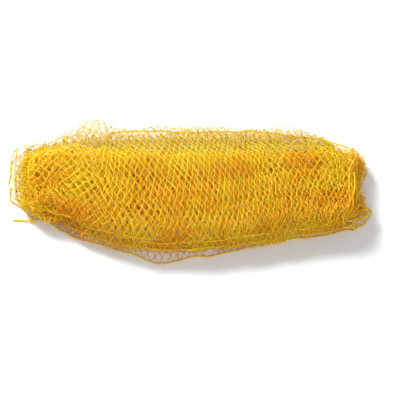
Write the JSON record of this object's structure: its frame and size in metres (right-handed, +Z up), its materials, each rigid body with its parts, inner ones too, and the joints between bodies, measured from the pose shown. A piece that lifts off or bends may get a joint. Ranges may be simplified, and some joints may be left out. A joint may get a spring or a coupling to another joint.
{
  "type": "folded court net",
  "caption": "Knotted mesh court net with a corded border, folded back and forth into a long flat bundle and lying on a surface.",
  "frame": {"origin": "on the surface the net lies on, under the middle of the folded bundle", "axes": "+X along the bundle, +Y to the back where loose netting spreads out, +Z up"},
  "size_m": [0.8038, 0.3826, 0.0867],
  "materials": {
    "netting_twine": "satin",
    "border_cord": "satin"
  },
  "bodies": {
    "root": {"netting_fold_1": "netting_twine", "netting_fold_2": "netting_twine", "netting_fold_3": "netting_twine", "netting_fold_4": "netting_twine", "netting_fold_5": "netting_twine", "netting_fold_6": "netting_twine", "netting_fold_7": "netting_twine", "head_cord": "border_cord", "foot_cord": "border_cord", "left_side_cord": "border_cord", "right_side_cord": "border_cord", "head_cord_tail": "border_cord", "left_front_knot": "border_cord", "left_back_knot": "border_cord", "right_front_knot": "border_cord", "right_back_knot": "border_cord"}
  },
  "joints": []
}
